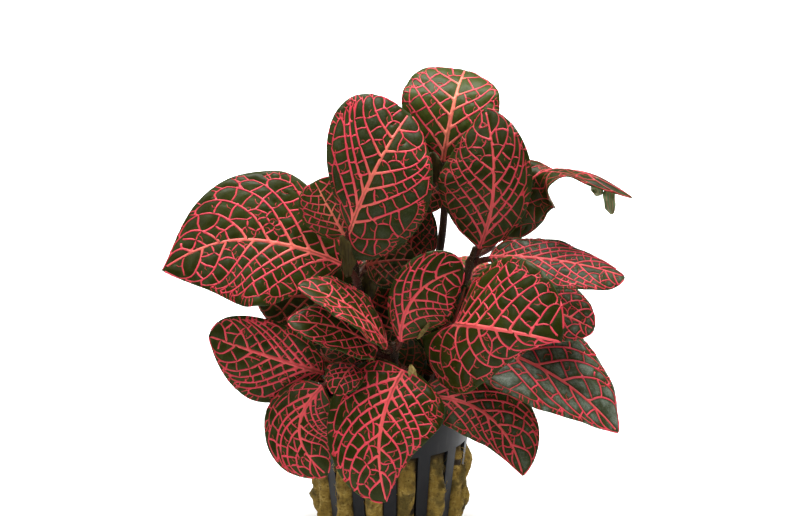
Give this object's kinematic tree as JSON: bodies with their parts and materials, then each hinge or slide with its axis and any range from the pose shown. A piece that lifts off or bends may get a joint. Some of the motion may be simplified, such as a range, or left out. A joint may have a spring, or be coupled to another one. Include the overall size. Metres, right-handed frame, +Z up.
{
  "type": "potted nerve plant",
  "caption": "Small nerve plant with pink-netted dark green leaves in a slatted net pot filled with rock wool.",
  "frame": {"origin": "middle of the pot's foot, on its underside", "axes": "+Z up the pot's axis towards the leaves, -Y towards the side that the picture shows, +X to the right there"},
  "size_m": [0.1411, 0.0927, 0.1476],
  "materials": {
    "pot_plastic": "dark grey moulded polypropylene, faintly satin, with fine scuffs and dust",
    "rock_wool": "wet matted mineral wool, ochre with olive algae and dark pores",
    "leaf": "waxy dark green leaf, quilted between the veins, paler and matt underneath",
    "nerve": "coral pink leaf veins, a little raised, with fine hairs"
  },
  "bodies": {
    "root": {"net_pot": "pot_plastic", "rock_wool": "rock_wool", "shoot_left": "leaf", "shoot_front": "leaf", "shoot_back": "leaf", "shoot_right": "leaf", "shoot_low_right": "leaf", "shoot_low_left": "leaf", "shoot_rear_left": "leaf", "shoot_rear_right": "leaf", "nerves_broad_left": "nerve", "nerves_tall_left": "nerve", "nerves_young_left": "nerve", "nerves_young_rear": "nerve", "nerves_shaded_left": "nerve", "nerves_shaded_middle": "nerve", "nerves_upright_front": "nerve", "nerves_folded_front": "nerve", "nerves_leaning_front": "nerve", "nerves_apron": "nerve", "nerves_small_front": "nerve", "nerves_shaded_front": "nerve", "nerves_crown": "nerve", "nerves_below_crown": "nerve", "nerves_behind_middle": "nerve", "nerves_crown_rear": "nerve", "nerves_upright_right": "nerve", "nerves_curled_right": "nerve", "nerves_level_right": "nerve", "nerves_shaded_right": "nerve", "nerves_shaded_core": "nerve", "nerves_rear_right_high": "nerve", "nerves_broad_front": "nerve", "nerves_lance_right": "nerve", "nerves_shaded_foot": "nerve", "nerves_under_right": "nerve", "nerves_low_left_upper": "nerve", "nerves_low_left_lower": "nerve", "nerves_shaded_low": "nerve", "nerves_rear_left_high": "nerve", "nerves_rear_middle": "nerve", "nerves_rear_left_low": "nerve", "nerves_rear_low": "nerve", "nerves_rear_inner": "nerve", "nerves_rear_right_low": "nerve", "nerves_rear_young": "nerve"}
  },
  "joints": []
}
